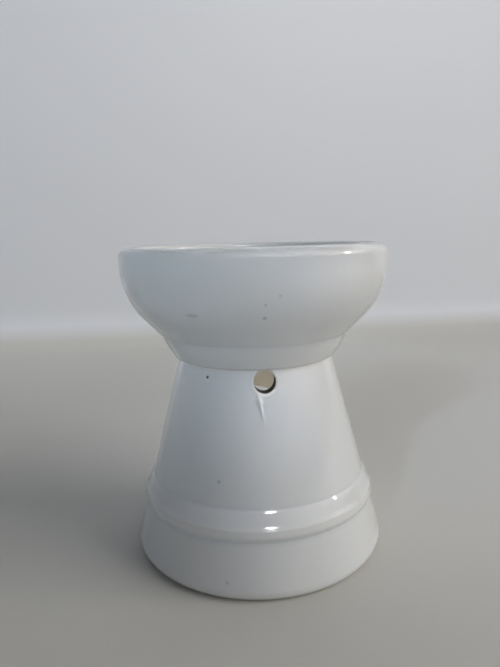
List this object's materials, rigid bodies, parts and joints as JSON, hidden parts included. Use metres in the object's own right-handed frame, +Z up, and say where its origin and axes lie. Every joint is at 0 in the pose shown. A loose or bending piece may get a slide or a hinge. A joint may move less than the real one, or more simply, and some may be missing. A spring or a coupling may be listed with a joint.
{
  "type": "wax warmer pot",
  "caption": "Glazed ceramic wax warmer: waisted stand with a foot bead, draught vent and tealight arch, and a bowl on a collar, with tealight and wax melt.",
  "frame": {"origin": "centre of the foot, on the plane it stands on", "axes": "+Z up along the turned axis, -Y towards the draught vent, +Y towards the tealight arch, +X to the right seen from the vent side"},
  "size_m": [0.086, 0.086, 0.1],
  "materials": {
    "glazed_ceramic": "white gloss glaze",
    "cup_aluminium": "bright pressed foil",
    "paraffin": "waxy, slightly translucent",
    "sustainer_steel": "tinned",
    "wick_cotton": "waxed cotton braid",
    "melt_wax": "waxy, slightly translucent"
  },
  "bodies": {
    "pot": {"stand": "glazed_ceramic", "dish": "glazed_ceramic"},
    "tealight": {"tealight_cup": "cup_aluminium", "tealight_wax": "paraffin", "wick_sustainer": "sustainer_steel", "wick": "wick_cotton"},
    "melt": {"wax_melt": "melt_wax"}
  },
  "joints": [
    {"name": "tealight_slide", "type": "slide", "parent": "pot", "child": "tealight", "axis": [0, 1, 0], "range_m": [0, 0.066]},
    {"name": "melt_lift", "type": "slide", "parent": "pot", "child": "melt", "axis": [0, 0, 1], "range_m": [0, 0.03]}
  ]
}
